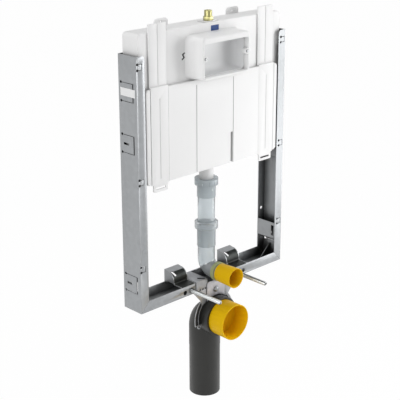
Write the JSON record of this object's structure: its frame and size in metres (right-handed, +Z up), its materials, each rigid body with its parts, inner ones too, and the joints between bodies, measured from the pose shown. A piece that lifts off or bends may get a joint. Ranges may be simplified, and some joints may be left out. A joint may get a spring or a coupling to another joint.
{
  "type": "in-wall cistern frame",
  "caption": "Slim concealed cistern with an access opening, held in a galvanised wall frame with pan studs, a flush pipe, a drain bend and protection caps.",
  "frame": {"origin": "midway between the two pan studs, on the front face of the bottom rail", "axes": "+X to the right seen from the front, +Y back to the wall, +Z up"},
  "size_m": [0.5505, 0.2, 1.1235],
  "materials": {
    "galvanised": "galvanised sheet",
    "holder_steel": "galvanised sheet",
    "zinc": "bright zinc plating",
    "drain_plastic": "satin",
    "black_rubber": "matt",
    "cap_plastic": "semi gloss",
    "pipe_plastic": "semi gloss",
    "clear_plastic": "translucent, semi gloss",
    "elbow_rubber": "matt",
    "tank_plastic": "semi gloss",
    "guard_plastic": "semi gloss",
    "brass": "satin",
    "plate_steel": "satin",
    "knob_plastic": "semi gloss",
    "valve_plastic": "satin",
    "float_plastic": "satin",
    "lift_plastic": "satin",
    "lever_plastic": "satin",
    "badge": "plain, no mark",
    "label": "plain, no mark"
  },
  "bodies": {
    "frame": {"left_upright": "galvanised", "right_upright": "galvanised", "bottom_rail": "galvanised", "corner_gussets": "galvanised", "channel_ties": "galvanised", "tank_carriers": "galvanised", "stud_hoods": "galvanised", "pan_studs": "zinc", "stud_nuts": "zinc", "drain_holder": "holder_steel", "holder_pad": "holder_steel", "holder_bolt": "zinc", "holder_nut": "zinc", "drain_lining": "black_rubber", "drain_bend": "drain_plastic", "drain_seal": "black_rubber", "flush_elbow": "pipe_plastic", "elbow_seal": "elbow_rubber", "lower_sleeve": "clear_plastic", "lower_union_nut": "clear_plastic", "flush_pipe": "clear_plastic", "upper_sleeve": "pipe_plastic", "upper_union_nut": "pipe_plastic", "outlet_spigot": "tank_plastic", "outlet_gasket": "black_rubber", "tank_rear_shell": "tank_plastic", "tank_front_shell": "tank_plastic", "front_straps": "tank_plastic", "access_shroud": "tank_plastic", "shroud_screws": "zinc", "splash_guard": "guard_plastic", "brass_inlet": "brass", "inlet_plate": "plate_steel", "inlet_gasket": "black_rubber", "inlet_nut": "brass", "stop_valve": "brass", "supply_tube": "valve_plastic", "fill_valve": "valve_plastic", "fill_bracket": "valve_plastic", "valve_basket": "guard_plastic", "lever_bracket": "valve_plastic", "blank_badge": "badge", "blank_label": "label"},
    "flush_lift": {"lift_tube": "lift_plastic", "outlet_seal": "black_rubber"},
    "lift_lever": {"lift_lever": "lever_plastic"},
    "float": {"float": "float_plastic"},
    "float_lever": {"float_lever": "valve_plastic"},
    "stop_knob": {"stop_knob": "knob_plastic"},
    "drain_cap": {"drain_cap": "cap_plastic"},
    "flush_cap": {"flush_cap": "cap_plastic"}
  },
  "joints": [
    {"name": "flush_lift_slide", "type": "slide", "parent": "frame", "child": "flush_lift", "axis": [0, 0, 1], "range_m": [0, 0.012]},
    {"name": "lift_lever_turn", "type": "hinge", "parent": "frame", "child": "lift_lever", "pos_m": [0, 0.058, 0.62463], "axis": [-1, 0, 0], "range_deg": [0, 30]},
    {"name": "float_slide", "type": "slide", "parent": "frame", "child": "float", "axis": [0, 0, 1], "range_m": [0, 0.016]},
    {"name": "float_lever_turn", "type": "hinge", "parent": "frame", "child": "float_lever", "pos_m": [-0.112, 0.022, 0.66], "axis": [0, -1, 0], "range_deg": [0, 28.7]},
    {"name": "stop_knob_turn", "type": "hinge", "parent": "frame", "child": "stop_knob", "pos_m": [0, 0.0125, 0.681], "axis": [0, -1, 0], "range_deg": [0, 90]},
    {"name": "drain_cap_pull", "type": "slide", "parent": "frame", "child": "drain_cap", "axis": [0, -1, 0], "range_m": [0, 0.03]},
    {"name": "flush_cap_pull", "type": "slide", "parent": "frame", "child": "flush_cap", "axis": [0, -1, 0], "range_m": [0, 0.03]}
  ],
  "couplings": [
    {"joint": "lift_lever_turn", "follows": "flush_lift_slide", "rad_per_m": 43.478},
    {"joint": "float_lever_turn", "follows": "float_slide", "rad_per_m": 31.25}
  ]
}
